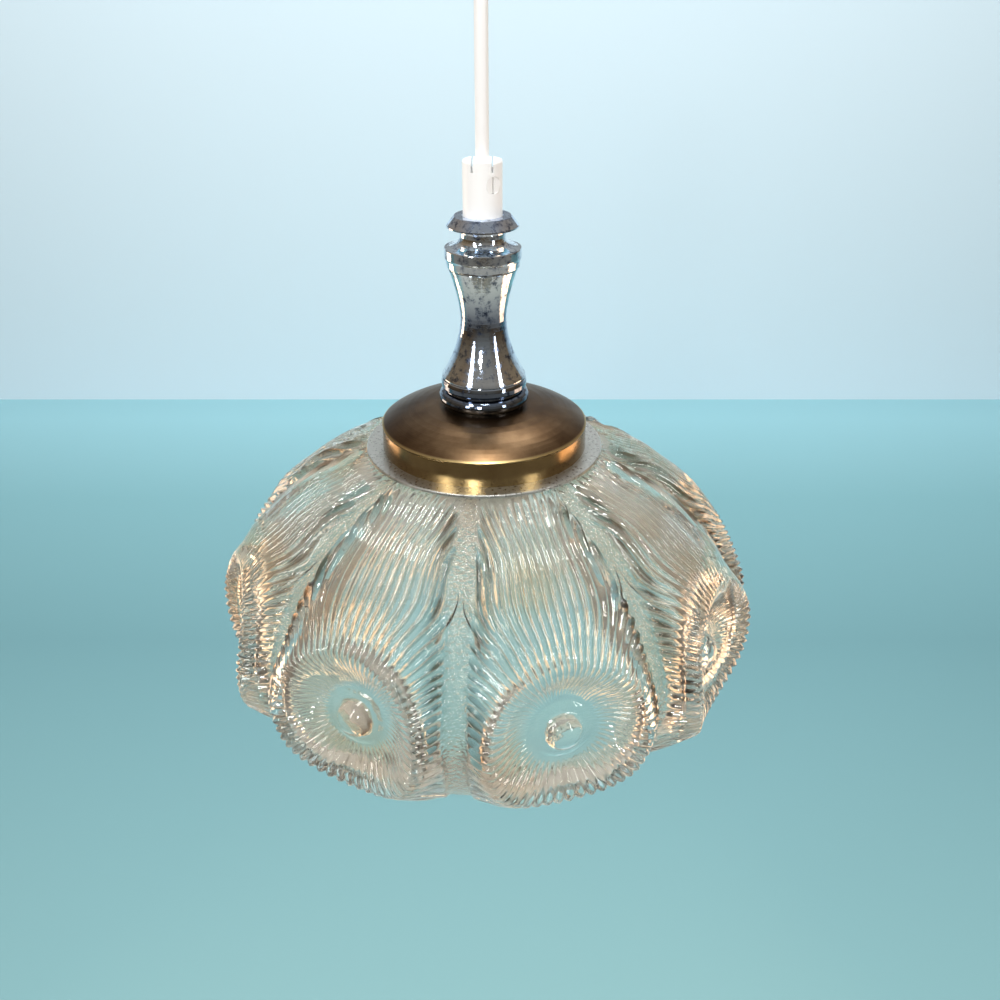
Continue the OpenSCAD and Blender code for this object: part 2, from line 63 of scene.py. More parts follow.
def mesh_object(name, points, faces):
    mesh = bpy.data.meshes.new(name)
    mesh.from_pydata([tuple(p) for p in points], [], [tuple(int(i) for i in f) for f in faces])
    mesh.validate()
    mesh.polygons.foreach_set("use_smooth", [True] * len(mesh.polygons))
    mesh.update()
    return new_object(name, mesh)


# ---- Camera ----

def add_camera():
    lens = bpy.data.cameras.new("camera")
    lens.lens = 38.16
    lens.sensor_width = 36.0
    lens.clip_start = 0.01
    camera = new_object("camera", lens)
    camera.location = (0.0067, -0.412, -0.0499)
    camera.rotation_euler = (math.radians(61.7), 0.0, 0.0)
    bpy.context.scene.camera = camera


# ---- Cord ----

CORD_D = 5.2 * MM
CORD_SIDES = 24
# Heights along the cord in millimetres, from inside the clip down to inside the cord grip
CORD_ROUTE = [-37, -42, -48, -54, -60, -66, -72, -79, -86, -93, -100, -107, -112, -120, -126, -132, -139]


def add_cord():
    """Round flex from inside the cord grip straight up into the clip under the bracket."""
    n = CORD_SIDES
    path = [(0.0, 0.0, z * MM) for z in CORD_ROUTE[::-1]]
    turn = [2 * math.pi * k / n for k in range(n)]
    points = [(CORD_D / 2 * math.cos(t), CORD_D / 2 * math.sin(t), z) for _, _, z in path for t in turn]
    last = (len(path) - 1) * n
    faces = [(first + k, first + (k + 1) % n, first + n + (k + 1) % n, first + n + k)
             for first in range(0, last, n) for k in range(n)]
    faces += [tuple(range(n))[::-1], tuple(range(last, last + n))]
    cord = mesh_object("cord", points, faces)
    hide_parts("flex")
    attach(cord, "pendant")
    return cord


add_camera()
cord = add_cord()


# ---- Glass shade, worked out in millimetres and degrees ----

GLASS_TOP = -245.2
GLASS_WALL = 4.2
HOLE_R = 21.5
LOBES = 8
TURN = 17.0
HALF = 180.0 / LOBES
VALLEY_HALF = 2.4
LOBE_ANGLES = [m * 360.0 / LOBES - 90 + TURN for m in range(LOBES)]

# The round bowl in each lobe, its eye and the nearly flat face round it
ROSETTE_Z = -72.0
ROSETTE_R = 33.0
BOWL_DEPTH = 12.0
BOWL_RUN = 19.0
BOSS_R = 7.6
BOSS_H = 5.0
EYE_R = 12.8
FACE_R = 43.0
FACE_EDGE = 10.0
FACE_BOW = 3.5

# Ribs run out from each rosette like spokes, and end as leaves beside the valleys
FLUTES = 60
RAYS_PER_FLUTE = 4
STRAIGHT = 30.0
RIB_HEIGHT = 2.2
LEAF_HEIGHT = 3.5
LEAF_AT = 4.0

# Places along the outlines, counted in their points
NECK, FOOT, MIDDLE = 2.0, 18.0, 12.0

# Outlines of the outside as (radius, height from the glass's top)
VALLEY_LINE = np.array([
    (21.5, 0), (34, 0), (46, 0), (52, -3), (61, -9), (71, -14.5), (80, -21.5), (87, -28.5), (94, -37.5),
    (99, -46), (103, -54), (106, -63), (107.5, -72), (107.3, -82), (105, -92), (100.5, -102),
    (94, -110.5), (86.5, -117.3), (80.5, -122)], dtype=float)
LOBE_LINE = np.array([
    (21.5, 0), (34, 0), (46, 0), (53, -2), (62, -6.5), (72, -10.5), (81, -16), (90, -23.5), (99.5, -31.5),
    (106, -41), (111.5, -51.5), (115, -62), (117, -72), (117.2, -82), (114.8, -92), (109, -102),
    (100.2, -110), (89.2, -116.5), (80.5, -122)], dtype=float)


def curve(p, s):
    """Smooth curve through the points of p, at place s counted in points."""
    n = len(p) - 1
    i = np.clip(np.floor(s).astype(int), 0, n - 1)
    f = (s - i)[..., None]
    a, b, c, d = p[np.maximum(i - 1, 0)], p[i], p[i + 1], p[np.minimum(i + 2, n)]
    return 0.5 * (2 * b + (c - a) * f + (2 * a - 5 * b + 4 * c - d) * f ** 2
                  + (3 * b - a - 3 * c + d) * f ** 3)


def inset_curve(p, s, inset):
    """The curve moved inward by inset, kept from rising above the top face."""
    d = curve(p, np.minimum(s + 0.02, FOOT)) - curve(p, np.maximum(s - 0.02, 0.0))
    d = d / np.linalg.norm(d, axis=-1, keepdims=True)
    q = curve(p, s)
    return np.stack([q[..., 0] + inset * d[..., 1], np.minimum(q[..., 1], 0) - inset * d[..., 0]], -1)


def lobe_share(off, inset):
    """0 in the valley and 1 over most of the lobe: a low arch from valley to valley."""
    edge = HALF - VALLEY_HALF - inset * 0.4
    return np.sin(np.pi / 2 * np.clip((edge - np.abs(off)) / edge * 1.7, 0, 1))


def rosette(q, inset):
    """Depth of the round bowl, with its rim, the groove round its eye and the boss."""
    bowl = -BOWL_DEPTH * smooth((ROSETTE_R + inset * 0.7 - q) / (BOWL_RUN + inset * 0.5))
    if inset:
        return bowl
    boss = BOSS_H * np.sqrt(np.clip(1 - (q / BOSS_R) ** 2, 0, 1))
    return bowl + boss + bell(q - ROSETTE_R - 1, 2.4) - 0.9 * bell(q - EYE_R, 1.1)


def glass_point(s, off, q, mid, inset):
    """Point on the glass at place s, off degrees from the middle of the lobe at angle mid.
    Round the rosette the lobe is nearly flat from side to side, and falls to the valleys."""
    v, l = inset_curve(VALLEY_LINE, s, inset), inset_curve(LOBE_LINE, s, inset)
    p = v + lobe_share(off, inset)[..., None] * (l - v)
    r, z = p[..., 0], p[..., 1]
    y = z - ROSETTE_Z
    if q is None:
        q = np.hypot(r * np.sin(np.radians(off)), y)
    across, front = r * np.sin(np.radians(off)), r * np.cos(np.radians(off))
    face = l[..., 0] - FACE_BOW * (across / 31.0) ** 2
    lift = smooth((FACE_R - inset * 0.5 - q) / FACE_EDGE) * (face - front) + rosette(q, inset)
    a, m = np.radians(mid + off), np.radians(mid)
    return np.stack([r * np.cos(a) + lift * np.cos(m), r * np.sin(a) + lift * np.sin(m), z + GLASS_TOP], -1)


def heights_up_lobe(places):
    """Distance up the lobe's surface from the rosette's centre, at each place."""
    line = curve(LOBE_LINE, places)
    run = np.concatenate([[0], np.cumsum(np.linalg.norm(np.diff(line, axis=0), axis=1))])
    return np.interp(MIDDLE, places, run) - run


TABLE_S = np.linspace(0.0, FOOT, 1801)
TABLE_Y = heights_up_lobe(TABLE_S)


def place_at(y):
    """The place whose distance up the lobe is y."""
    return np.interp(-y, -TABLE_Y, TABLE_S)


def lobe_radius(y):
    """Distance from the lamp's axis to the lobe's middle line, y up the lobe."""
    return curve(LOBE_LINE, place_at(y))[..., 0]


def ray_point(theta, rho):
    """(across, up) on the lobe along the rib that leaves the rosette at theta from straight up.
    Ribs leave it like spokes, then turn to run up to the neck or down to the foot."""
    up = rho * np.cos(theta)
    reach = np.where(up > 0, 16.0, 12.0)
    over = np.maximum(np.abs(up) - STRAIGHT, 0.0)
    level = np.minimum(np.abs(up), STRAIGHT) + reach * (1 - np.exp(-over / reach))
    lean = np.where(np.abs(up) > STRAIGHT, level / np.maximum(np.abs(up), 1e-6), 1.0)
    swell = 1 + 0.1 * bell(up - 54.0, 15.0) + 0.05 * np.sin(0.13 * up + 0.6) * smooth((up - 34.0) / 12.0)
    return rho * np.sin(theta) * lean * swell, up


def ray_end(theta):
    """(rho, kind) where a rib's line meets the neck, the foot or the middle of the valley."""
    rho = np.arange(20.0, 150.0, 0.1)
    x, y = ray_point(theta, rho)
    top, low = np.interp(NECK, TABLE_S, TABLE_Y), np.interp(FOOT, TABLE_S, TABLE_Y)
    out_valley = x >= math.radians(HALF) * lobe_radius(np.clip(y, low, top))
    hit = np.argmax(out_valley | (y >= top) | (y <= low))
    kind = "neck" if y[hit] >= top else "foot" if y[hit] <= low else "valley"
    return rho[hit], kind


# Distances from the rosette's centre that its bowl and boss need, then even steps outwards
INNER_RHO = [0, 2.5, 5, 6.8, 7.6, 9.3, 11.1, 12.2, 13.3, 15.5, 18, 20.5, 23, 25.5, 28, 30, 31.5, 33.5]
OUTER_STEPS = 20


def ray_table():
    """For the rays of half a lobe, the (place, off, rho) of each point from centre to edge.
    The rays lie closer together towards the neck than towards the foot."""
    turn = np.linspace(0.0, np.pi, FLUTES * RAYS_PER_FLUTE // 2 + 1)
    thetas = turn - 0.3 * np.sin(turn)
    ends = [ray_end(t) for t in thetas]
    kinds = [k for _, k in ends]
    corner = {kinds.index("valley"), len(kinds) - 1 - kinds[::-1].index("valley")}
    table = []
    for i, (theta, (rho_end, kind)) in enumerate(zip(thetas, ends)):
        rho = np.concatenate([INNER_RHO, np.linspace(INNER_RHO[-1], rho_end, OUTER_STEPS + 1)[1:]])
        x, y = ray_point(theta, rho)
        s = place_at(y)
        off = np.degrees(x / lobe_radius(y))
        if kind == "neck" or (i in corner and theta < np.pi / 2):
            s[-1] = NECK
        if kind == "foot" or (i in corner and theta > np.pi / 2):
            s[-1] = FOOT
        if kind == "valley":
            off[-1] = HALF
        table.append(np.stack([s, off, rho], -1))
    return np.array(table)


def flute(index):
    """Rounded rib between two sharp grooves, sampled at ray number index."""
    return np.abs(np.sin(np.pi * index / RAYS_PER_FLUTE))


def edge_distance(s, off):
    """Millimetres from the edge of the plain band along the valley, which widens below the neck."""
    band = 2.4 + 2.2 * smooth((s - 2.0) / 4.0)
    return np.radians(HALF - np.abs(off)) * curve(LOBE_LINE, s)[..., 0] - band


def leaf_share(s, off):
    """How far a point belongs to the row of leaves beside the valley."""
    along = smooth((s - 2.6) / 1.2) * smooth((14.0 - s) / 3)
    return bell(edge_distance(s, off) - LEAF_AT, 3.6) * along


def rib_height(index, s, off, rho):
    """Height of the ribs, flutes and leaves over the plain glass, in millimetres."""
    inside = smooth(edge_distance(s, off) / 1.6)
    ends = smooth((s - 2.5) / 0.7) * smooth((17.8 - s) / 0.8)
    spoke = np.clip(0.062 * rho - 0.45, 0, RIB_HEIGHT) * smooth((rho - 13.0) / 1.5)
    leaf = LEAF_HEIGHT * leaf_share(s, off)
    shape = flute(index)
    return (shape - 0.5) * spoke * inside * ends + leaf * (shape - 0.4) * inside


def zip_rings(a, b, points):
    """Triangles between two closed rings of point numbers, each sorted by angle."""
    def sort(ring):
        turn = np.arctan2(points[ring, 1], points[ring, 0])
        order = np.argsort(turn)
        return np.asarray(ring)[order], turn[order]
    (a, ta), (b, tb) = sort(a), sort(b)
    i = j = 0
    faces = []
    while i < len(a) or j < len(b):
        next_a = ta[i + 1] if i + 1 < len(a) else (ta[0] + 2 * np.pi if i < len(a) else np.inf)
        next_b = tb[j + 1] if j + 1 < len(b) else (tb[0] + 2 * np.pi if j < len(b) else np.inf)
        pa, pb = a[i % len(a)], b[j % len(b)]
        if next_a <= next_b:
            faces.append((pa, a[(i + 1) % len(a)], pb))
            i += 1
        else:
            faces.append((pa, b[(j + 1) % len(b)], pb))
            j += 1
    return faces


def lobe_faces(ray_count, ring_count, first):
    """Faces between neighbouring rays of one lobe, seen from outside."""
    faces = []
    for i in range(ray_count):
        a = first + i * ring_count
        b = first + (i + 1) % ray_count * ring_count
        faces += [(a + k, b + k, b + k + 1, a + k + 1) for k in range(ring_count - 1)]
    return faces


def merged(points, values, faces):
    """Joins points that coincide, and drops the sides that this closes up."""
    key = np.round(points / 0.004).astype(np.int64)
    _, keep, back = np.unique(key, axis=0, return_index=True, return_inverse=True)
    back = back.reshape(-1)
    out = []
    for face in faces:
        ring = [back[i] for i in face]
        ring = [v for n, v in enumerate(ring) if v != ring[n - 1]]
        if len(ring) > 2:
            out.append(tuple(ring))
    return points[keep], values[keep], out


def vertex_normals(points, faces):
    """Outward direction at each point, averaged over the faces that meet there."""
    total = np.zeros_like(points)
    for size in (3, 4):
        group = np.array([f for f in faces if len(f) == size])
        if len(group) == 0:
            continue
        p = points[group]
        if size == 4:
            n = np.cross(p[:, 2] - p[:, 0], p[:, 3] - p[:, 1])
        else:
            n = np.cross(p[:, 1] - p[:, 0], p[:, 2] - p[:, 0])
        for k in range(size):
            np.add.at(total, group[:, k], n)
    return total / np.maximum(np.linalg.norm(total, axis=1, keepdims=True), 1e-12)


def outer_glass():
    """Points, (rib height, valley, leaf) values and faces of the patterned outside."""
    half = ray_table()
    number = np.arange(len(half))
    mirror = half[1:-1][::-1] * np.array([1, -1, 1])
    rays = np.concatenate([half, mirror])
    index = np.concatenate([number, number[1:-1][::-1]])
    s, off, rho = rays[..., 0], rays[..., 1], rays[..., 2]
    height = rib_height(index[:, None], s, off, rho)
    # The valley and leaf masks also place the glass material's painted peach reflection and painted brown
    # shade.
    valley = smooth((0.8 - edge_distance(s, off)) / 1.2)
    leaf = leaf_share(s, off) * flute(index)[:, None] ** 2
    value = np.stack([height, valley, leaf], -1).reshape(-1, 3)
    points, values, faces = [], [], []
    for mid in LOBE_ANGLES:
        faces += lobe_faces(len(rays), rays.shape[1], len(points) * len(value))
        points.append(glass_point(s, off, rho, mid, 0).reshape(-1, 3))
        values.append(value)
    return merged(np.concatenate(points), np.concatenate(values), faces)


def inner_glass(first):
    """Smooth inside of the glass, as rings of points from the neck to the foot."""
    places = np.array([0, 2, 3, 4, 5, 6, 7, 8, 9, 10, 11, 12, 13, 14, 15, 16, 17, 18.0])
    offs = np.linspace(-HALF, HALF, 25)[:-1]
    s, off = np.meshgrid(places, offs, indexing="ij")
    grid = np.concatenate([glass_point(s, off, None, mid, GLASS_WALL) for mid in LOBE_ANGLES], axis=1)
    rows, n = grid.shape[:2]
    faces = [(first + i * n + k, first + i * n + (k + 1) % n, first + (i + 1) * n + (k + 1) % n,
              first + (i + 1) * n + k) for i in range(rows - 1) for k in range(n)]
    return grid.reshape(-1, 3), faces, n


def boundary(faces):
    """Numbers of the points along the open edges of a set of faces."""
    edges = set()
    for face in faces:
        for a, b in zip(face, face[1:] + face[:1]):
            if (b, a) in edges:
                edges.remove((b, a))
            else:
                edges.add((a, b))
    return sorted({p for edge in edges for p in edge})


def add_glass():
    """The pressed shade: ribbed outside, smooth inside, open at the neck and the foot."""
    points, values, faces = outer_glass()
    points = points + vertex_normals(points, faces) * values[:, :1]
    rim = boundary(faces)
    neck = [p for p in rim if points[p, 2] > GLASS_TOP + ROSETTE_Z]
    foot = [p for p in rim if points[p, 2] < GLASS_TOP + ROSETTE_Z]
    turn = np.radians(np.arange(0, 360, 3.75))
    hole = np.stack([HOLE_R * np.cos(turn), HOLE_R * np.sin(turn), np.full(len(turn), GLASS_TOP)], -1)
    hole_first = len(points)
    inner, inner_faces, n = inner_glass(hole_first + len(hole))
    inner_first = hole_first + len(hole)
    points = np.concatenate([points, hole, inner])
    values = np.concatenate([values, np.zeros((len(hole) + len(inner), 3))])
    hole_ring = list(range(hole_first, inner_first))
    inner_neck = list(range(inner_first, inner_first + n))
    inner_foot = list(range(len(points) - n, len(points)))
    strips = (zip_rings(neck, hole_ring, points) + zip_rings(hole_ring, inner_neck, points)
              + zip_rings(inner_foot, foot, points))
    glass = mesh_object("shade_pressed_glass", points * MM, faces + inner_faces + strips)
    for name, column in (("rib", 0), ("valley", 1), ("leaf", 2)):
        layer = glass.data.attributes.new(name, "FLOAT", "POINT")
        layer.data.foreach_set("value", values[:, column].astype(np.float32))
    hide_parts("glass_shade")
    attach(glass, "pendant")
    return glass


# ---- Materials ----

class Shader:
    """A material's node tree, with short ways to add and join nodes."""

    def __init__(self, name):
        self.material = bpy.data.materials.new(name)
        self.material.use_nodes = True
        self.tree = self.material.node_tree
        self.surface = self.tree.nodes["Principled BSDF"]

    def set(self, **values):
        for key, value in values.items():
            self.surface.inputs[key.replace("_", " ")].default_value = value
        return self

    def node(self, kind, **inputs):
        made = self.tree.nodes.new(kind)
        for key, value in inputs.items():
            socket = made.inputs[key.replace("_", " ")] if key.replace("_", " ") in made.inputs else None
            if socket is None:
                setattr(made, key, value)
            elif hasattr(value, "is_output"):
                self.tree.links.new(value, socket)
            else:
                socket.default_value = value
        return made

    def place(self):
        return self.node("ShaderNodeTexCoord").outputs["Object"]

    def noise(self, scale, detail=4.0, roughness=0.5, vector=None):
        made = self.node("ShaderNodeTexNoise", Scale=scale, Detail=detail, Roughness=roughness)
        self.tree.links.new(vector or self.place(), made.inputs["Vector"])
        return made.outputs["Fac"]

    def math(self, operation, a, b=None):
        made = self.tree.nodes.new("ShaderNodeMath")
        made.operation = operation
        for socket, value in zip(made.inputs, (a, b)):
            if value is None:
                continue
            if hasattr(value, "is_output"):
                self.tree.links.new(value, socket)
            else:
                socket.default_value = value
        return made.outputs[0]

    def ramp(self, factor, *stops):
        made = self.tree.nodes.new("ShaderNodeValToRGB")
        self.tree.links.new(factor, made.inputs["Fac"])
        ramp = made.color_ramp
        while len(ramp.elements) < len(stops):
            ramp.elements.new(0.5)
        for element, (at, colour) in zip(ramp.elements, stops):
            element.position = at
            element.color = (*colour, 1.0) if len(colour) == 3 else colour
        return made.outputs["Color"]

    def mix(self, factor, a, b, blend="MIX"):
        made = self.tree.nodes.new("ShaderNodeMix")
        made.data_type = "RGBA"
        made.blend_type = blend
        for socket, value in ((made.inputs[0], factor), (made.inputs[6], a), (made.inputs[7], b)):
            if hasattr(value, "is_output"):
                self.tree.links.new(value, socket)
            else:
                socket.default_value = value
        return made.outputs[2]

    def grey(self, factor, low, high, start=0.0, end=1.0):
        made = self.node("ShaderNodeMapRange", Value=factor)
        for key, value in (("From Min", start), ("From Max", end), ("To Min", low), ("To Max", high)):
            made.inputs[key].default_value = value
        return made.outputs["Result"]

    def bump(self, height, distance, strength=1.0, after=None):
        made = self.node("ShaderNodeBump", Height=height, Distance=distance, Strength=strength)
        if after is not None:
            self.tree.links.new(after, made.inputs["Normal"])
        return made.outputs["Normal"]

    def join(self, output, socket):
        self.tree.links.new(output, self.surface.inputs[socket])
        return self


def plastic(name, colour, roughness):
    """Moulded plastic with a faint orange-peel surface."""
    m = Shader(name).set(Base_Color=(*colour, 1), Roughness=roughness)
    m.join(m.bump(m.noise(900, 2), 0.00002), "Normal")
    return m.material


def metal(name, colour, roughness, grain=0.03, scale=1500):
    """Plain metal whose polish varies a little."""
    m = Shader(name).set(Base_Color=(*colour, 1), Metallic=1.0)
    m.join(m.grey(m.noise(scale, 6), roughness - grain, roughness + grain, 0.3, 0.7), "Roughness")
    return m.material


STEM_LOW = -224.6 * MM
STEM_TOP = -146.8 * MM
CAP_RIM_LOW = -234.6 * MM
CAP_RIM_TOP = -230.6 * MM


def chrome_plate():
    """Old chrome: mirror bright with a blue cast and dull freckles, with painted reflections as dark and
    bright bands by height.
    """
    m = Shader("chrome_plate").set(Metallic=1.0)
    freckles = m.noise(330, 7, 0.72)
    plate = m.ramp(freckles, (0.36, (0.07, 0.09, 0.15)), (0.43, (0.45, 0.52, 0.63)), (0.5, (0.82, 0.9, 0.98)))
    height = m.grey(m.node("ShaderNodeSeparateXYZ", Vector=m.place()).outputs["Z"], 0.0, 1.0,
                    STEM_LOW, STEM_TOP)
    # Painted reflections: dark and bright bands up the stem by height, standing in for what the chrome
    # mirrors there.
    painted_reflection_bands = m.ramp(height, (0.0, (0.22, 0.25, 0.3)), (0.13, (0.28, 0.31, 0.37)), (0.18, (1.0, 1.0, 1.0)),
                  (0.34, (0.85, 0.9, 1.0)), (0.48, (0.42, 0.46, 0.54)), (0.66, (0.85, 0.9, 0.86)),
                  (0.8, (1.0, 1.0, 1.0)), (0.93, (1.0, 1.0, 1.0)), (0.97, (0.8, 0.85, 0.95)))
    m.join(m.mix(1.0, plate, painted_reflection_bands, "MULTIPLY"), "Base Color")
    m.join(m.grey(freckles, 0.26, 0.05, 0.36, 0.5), "Roughness")
    m.join(m.bump(m.noise(1100, 3, 0.6), 0.00006, 0.35), "Normal")
    return m.material


def rings(m, scale, distortion=0.0):
    """Fine circles round the lamp's axis."""
    made = m.node("ShaderNodeTexWave", wave_type="RINGS", rings_direction="Z")
    made.inputs["Scale"].default_value = scale
    made.inputs["Distortion"].default_value = distortion
    m.tree.links.new(m.place(), made.inputs["Vector"])
    return made.outputs["Fac"]


def patina_and_painted_light_brass():
    """Spun brass gone brown, with fine circular brushing; the dome kept dark as painted shade, the golden
    side and rim partly rubbed brass and partly painted reflection and highlight.
    """
    m = Shader("patina_and_painted_light_brass").set(Metallic=1.0)
    stain = m.noise(38, 8, 0.62)
    # The dome's brown patina, kept dark as painted shade.
    brown = m.ramp(stain, (0.3, (0.05, 0.026, 0.012)), (0.5, (0.1, 0.058, 0.028)),
                   (0.72, (0.18, 0.115, 0.062)))
    # The golden side: partly rubbed brass, partly a painted reflection of the bright disc below it.
    side = m.ramp(stain, (0.3, (0.17, 0.105, 0.045)), (0.7, (0.34, 0.24, 0.11)))
    level = m.grey(m.node("ShaderNodeSeparateXYZ", Vector=m.place()).outputs["Z"], 0.0, 1.0,
                   CAP_RIM_LOW, CAP_RIM_TOP)
    # Share of the dome with its painted shade against the side with its painted reflection.
    blend = m.ramp(level, (0.28, (0.0, 0.0, 0.0)), (0.62, (1.0, 1.0, 1.0)))
    # A golden line round the rim where dome meets side: partly rubbed wear, partly a painted highlight.
    rim = m.ramp(level, (0.34, (0.0, 0.0, 0.0)), (0.5, (1.0, 1.0, 1.0)), (0.66, (0.0, 0.0, 0.0)))
    m.join(m.mix(rim, m.mix(blend, side, brown), (0.52, 0.38, 0.17, 1)), "Base Color")
    m.join(m.mix(blend, m.grey(m.noise(90, 6, 0.6), 0.14, 0.26, 0.3, 0.7),
                 m.grey(m.noise(60, 6, 0.6), 0.3, 0.42, 0.3, 0.7)), "Roughness")
    m.join(m.bump(rings(m, 420, 0.6), 0.00002, 0.35), "Normal")
    return m.material


def satin_sheet():
    """Brushed sheet metal with circular grain."""
    m = Shader("satin_sheet").set(Metallic=1.0, Base_Color=(0.66, 0.68, 0.65, 1))
    m.join(m.grey(m.noise(700, 4), 0.24, 0.38, 0.3, 0.7), "Roughness")
    m.join(m.bump(rings(m, 500, 0.8), 0.00002, 0.4), "Normal")
    return m.material


def pressed_glass():
    """Clear glass with a creamy cast and pebbled valleys, with painted amber shade in the grooves, a painted
    peach reflection in the valleys and painted brown shade on the leaves.
    """
    m = Shader("pressed_glass").set(Roughness=0.015, IOR=1.5, Transmission_Weight=0.95)
    rib, valley, leaf = [m.node("ShaderNodeAttribute", attribute_name=name).outputs["Fac"]
                         for name in ("rib", "valley", "leaf")]
    cast = m.ramp(m.noise(26, 3, 0.5), (0.36, (0.96, 0.99, 0.93)), (0.5, (0.99, 0.97, 0.9)),
                  (0.64, (0.99, 0.88, 0.72)))
    # Painted shade: the rib grooves darkened towards amber brown, most in the deepest grooves.
    groove = m.mix(m.grey(rib, 0.7, 0.0, -1.0, -0.1), cast, (0.5, 0.39, 0.26, 1))
    # Painted reflection: a peach tint laid along the valleys.
    groove_shade_and_valley_reflection = m.mix(m.math("MULTIPLY", valley, 0.75), groove, (1.0, 0.84, 0.68, 1))
    # Painted shade: patchy dark brown on the leaves beside the valleys.
    brown = m.math("MULTIPLY", leaf, m.grey(m.noise(55, 2, 0.5), 0.5, 1.5, 0.35, 0.6))
    m.join(m.mix(brown, groove_shade_and_valley_reflection, (0.12, 0.065, 0.035, 1)), "Base Color")
    pebble = m.math("MULTIPLY", m.noise(560, 2, 0.5), valley)
    m.join(m.bump(pebble, 0.0016, 1.0, m.bump(m.noise(150, 2, 0.5), 0.0008, 0.5)), "Normal")
    return m.material


def clear_glass(name):
    """Thin clear glass of a bulb."""
    m = Shader(name).set(Base_Color=(1, 1, 1, 1), Roughness=0.0, IOR=1.45, Transmission_Weight=1.0)
    return m.material


def two_tone(name, axis, level, low, high, roughness=0.4):
    """Two colours that change where the object's own coordinate passes level."""
    m = Shader(name).set(Roughness=roughness)
    split = m.node("ShaderNodeSeparateXYZ", Vector=m.place()).outputs[axis]
    m.join(m.ramp(m.math("GREATER_THAN", split, level), (0.0, low), (1.0, high)), "Base Color")
    return m.material


def paint(material, *names):
    """Gives CAD nodes a material."""
    for name in names:
        piece = nodes[name]
        if not piece.material_slots:
            piece.data.materials.append(material)
        for entry in piece.material_slots:
            entry.material = material


def add_materials(glass):
    white = plastic("white_plastic", (0.83, 0.82, 0.8), 0.3)
    gloss = plastic("white_pvc", (0.95, 0.95, 0.94), 0.28)
    steel = metal("zinc_steel", (0.62, 0.63, 0.64), 0.32)
    contact = metal("contact_brass", (0.75, 0.58, 0.28), 0.3)
    cord.data.materials.append(gloss)
    glass.data.materials.append(pressed_glass())
    paint(gloss, "grip_body", "grip_jaw", "grip_screw")
    paint(white, "ceiling_cup", "cup_bush", "suspension_clip", "terminal_block", "holder_cap",
          "holder_skirt", "shade_ring")
    paint(steel, "ceiling_bracket", "bracket_eye", "chain_link", "clip_screw", "threaded_tube",
          "cap_washer", "lock_nut", "holder_screws")
    paint(chrome_plate(), "cup_screws", "stem_collar", "stem_bead", "stem_waist", "foot_band", "base_ring")
    paint(patina_and_painted_light_brass(), "brass_cap")
    paint(satin_sheet(), "metal_disc")
    paint(contact, "block_screws", "holder_contacts", "screw_shell")
    paint(metal("nickel", (0.72, 0.71, 0.69), 0.2), "bulb_cap")
    paint(metal("tungsten", (0.35, 0.34, 0.33), 0.35), "bulb_filament")
    paint(plastic("ceramic", (0.8, 0.79, 0.76), 0.2), "holder_insert")
    paint(plastic("gasket_rubber", (0.12, 0.11, 0.1), 0.7), "glass_gasket")
    paint(clear_glass("bulb_clear"), "bulb_glass", "bulb_stem")
    paint(two_tone("contact_black", "Z", -256.8 * MM, (0.02, 0.02, 0.02), (0.6, 0.6, 0.6)), "bulb_contact")
    paint(two_tone("block_core_pair", "Y", 0.0, (0.16, 0.07, 0.03), (0.05, 0.15, 0.5)), "block_cores")
    paint(two_tone("lamp_core_pair", "X", 0.0, (0.16, 0.07, 0.03), (0.05, 0.15, 0.5)), "lamp_cores")


# ---- Studio ----

SIDE = 6.0
NEAR_Y = -4.0
WALL_Y = 2.55
FLOOR_Z = -1.3
WALL_TOP = 0.3


def add_stage():
    """Plain floor far below, warm under the lamp and pale teal further off, and a pale wall."""
    meet = [(-SIDE, WALL_Y, FLOOR_Z), (SIDE, WALL_Y, FLOOR_Z)]
    near = [(-SIDE, NEAR_Y, FLOOR_Z), (SIDE, NEAR_Y, FLOOR_Z)]
    floor = mesh_object("floor", near + meet[::-1], [(0, 1, 2, 3)])
    wall = mesh_object("wall", meet + [(SIDE, WALL_Y, WALL_TOP), (-SIDE, WALL_Y, WALL_TOP)], [(0, 1, 2, 3)])
    m = Shader("floor_paint").set(Roughness=0.9)
    ahead = m.node("ShaderNodeSeparateXYZ", Vector=m.place()).outputs["Y"]
    colour = m.ramp(m.grey(ahead, 0.0, 1.0, 0.0, 2.4), (0.0, (0.38, 0.37, 0.34)), (0.2, (0.18, 0.34, 0.36)),
                    (0.55, (0.14, 0.29, 0.32)), (0.8, (0.2, 0.4, 0.44)), (1.0, (0.3, 0.55, 0.61)))
    m.join(colour, "Base Color")
    floor.data.materials.append(m.material)
    paper = Shader("wall_paint").set(Base_Color=(0.72, 0.85, 0.93, 1), Roughness=0.9)
    wall.data.materials.append(paper.material)


def add_light(name, place, aim, size, power, colour=(1, 1, 1)):
    data = bpy.data.lights.new(name, "AREA")
    data.shape = "RECTANGLE"
    data.size, data.size_y = size
    data.energy = power
    data.color = colour
    lamp = new_object(name, data)
    lamp.location = place
    lamp.rotation_euler = (Vector(aim) - Vector(place)).to_track_quat("-Z", "Y").to_euler()
    return lamp


def world_layer(tree, direction, *stops):
    """Colours along one component of the direction, from -1 to 1."""
    level = tree.nodes.new("ShaderNodeMapRange")
    level.inputs["From Min"].default_value = -1.0
    tree.links.new(direction, level.inputs["Value"])
    ramp = tree.nodes.new("ShaderNodeValToRGB")
    while len(ramp.color_ramp.elements) < len(stops):
        ramp.color_ramp.elements.new(0.5)
    for element, (at, colour) in zip(ramp.color_ramp.elements, stops):
        element.position = at
        element.color = (*colour, 1.0)
    tree.links.new(level.outputs["Result"], ramp.inputs["Fac"])
    return ramp.outputs["Color"]


def world_product(tree, a, b):
    """Two colours multiplied."""
    both = tree.nodes.new("ShaderNodeMix")
    both.data_type = "RGBA"
    both.blend_type = "MULTIPLY"
    both.inputs["Factor"].default_value = 1.0
    tree.links.new(a, both.inputs[6])
    tree.links.new(b, both.inputs[7])
    return both.outputs[2]


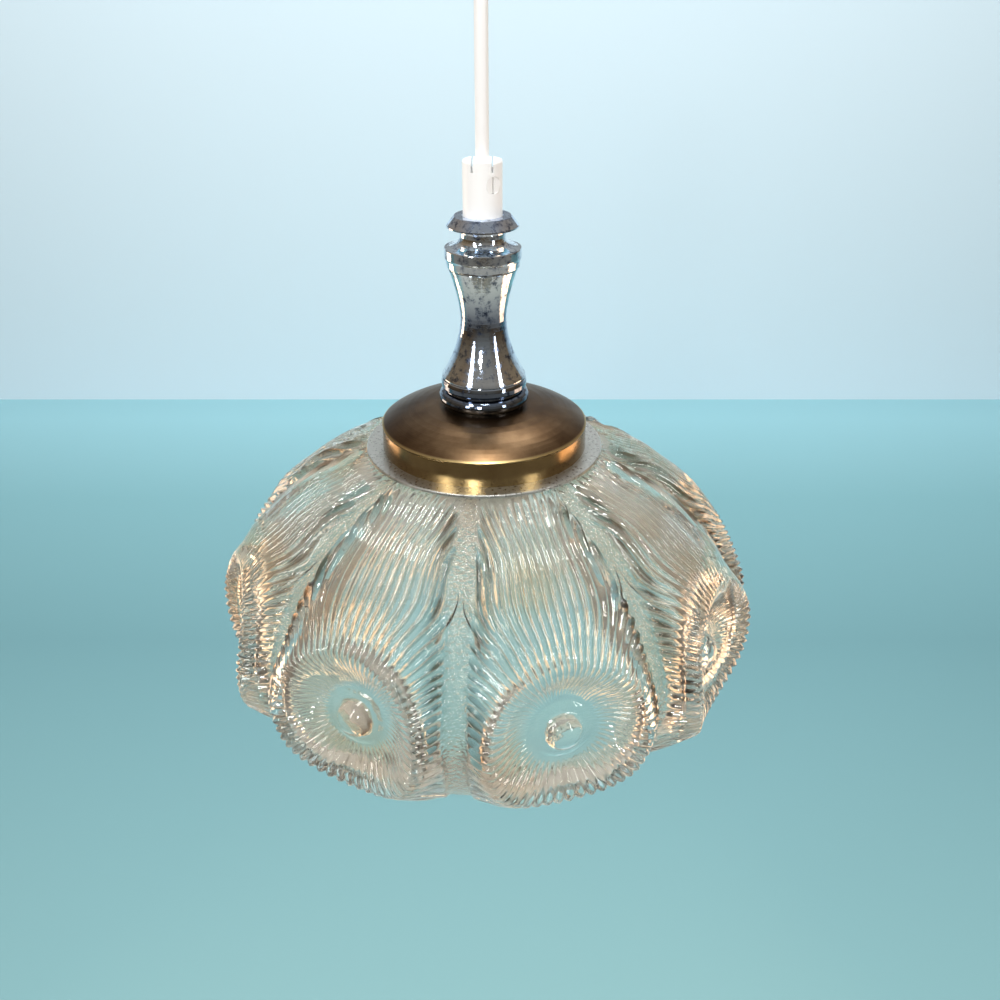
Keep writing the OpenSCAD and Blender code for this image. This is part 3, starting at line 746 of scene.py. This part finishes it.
def add_world():
    """Soft studio surround: bright overhead, brown below and out to the sides, dim behind the camera."""
    world = bpy.data.worlds.new("studio")
    world.use_nodes = True
    tree = world.node_tree
    background = tree.nodes["Background"]
    split = tree.nodes.new("ShaderNodeSeparateXYZ")
    tree.links.new(tree.nodes.new("ShaderNodeTexCoord").outputs["Generated"], split.inputs[0])
    up = world_layer(tree, split.outputs["Z"], (0.0, (0.3, 0.22, 0.15)), (0.42, (0.4, 0.36, 0.3)),
                     (0.56, (0.62, 0.66, 0.66)), (0.85, (1.0, 1.0, 1.0)))
    ahead = world_layer(tree, split.outputs["Y"], (0.1, (0.58, 0.52, 0.45)), (0.45, (0.8, 0.8, 0.8)),
                        (0.75, (1.0, 1.0, 1.0)))
    side = world_layer(tree, split.outputs["X"], (0.06, (0.7, 0.48, 0.3)), (0.3, (1.0, 1.0, 1.0)),
                       (0.7, (1.0, 1.0, 1.0)), (0.94, (0.7, 0.48, 0.3)))
    tree.links.new(world_product(tree, world_product(tree, up, ahead), side), background.inputs["Color"])
    background.inputs["Strength"].default_value = 0.44
    bpy.context.scene.world = world


def add_lights():
    centre = (0.0, 0.0, -0.25)
    add_light("key", (-0.9, -1.0, 0.55), centre, (0.22, 1.3), 12)
    add_light("fill", (1.1, -0.8, 0.3), centre, (0.16, 1.2), 7)
    add_light("front", (-0.25, -1.3, 0.3), centre, (0.12, 0.2), 7)
    add_light("overhead", (0.03, -0.2, 1.2), centre, (0.26, 0.4), 13)
    add_light("top", (0.2, 0.9, 1.2), centre, (0.9, 0.4), 9)
    add_light("warm_right", (0.9, 0.3, -0.8), centre, (0.6, 0.5), 3.5, (1.0, 0.58, 0.32))
    add_light("warm_left", (-0.9, 0.5, -0.6), centre, (0.4, 0.5), 2.5, (1.0, 0.66, 0.42))
    wash = add_light("stage_wash", (0.0, 0.8, 2.2), (0.0, 2.4, -1.0), (4.0, 1.5), 122)
    wash.visible_glossy = False
    wash.visible_transmission = False


glass = add_glass()
add_materials(glass)
add_stage()
add_world()
add_lights()
bpy.context.scene.view_settings.view_transform = "Standard"
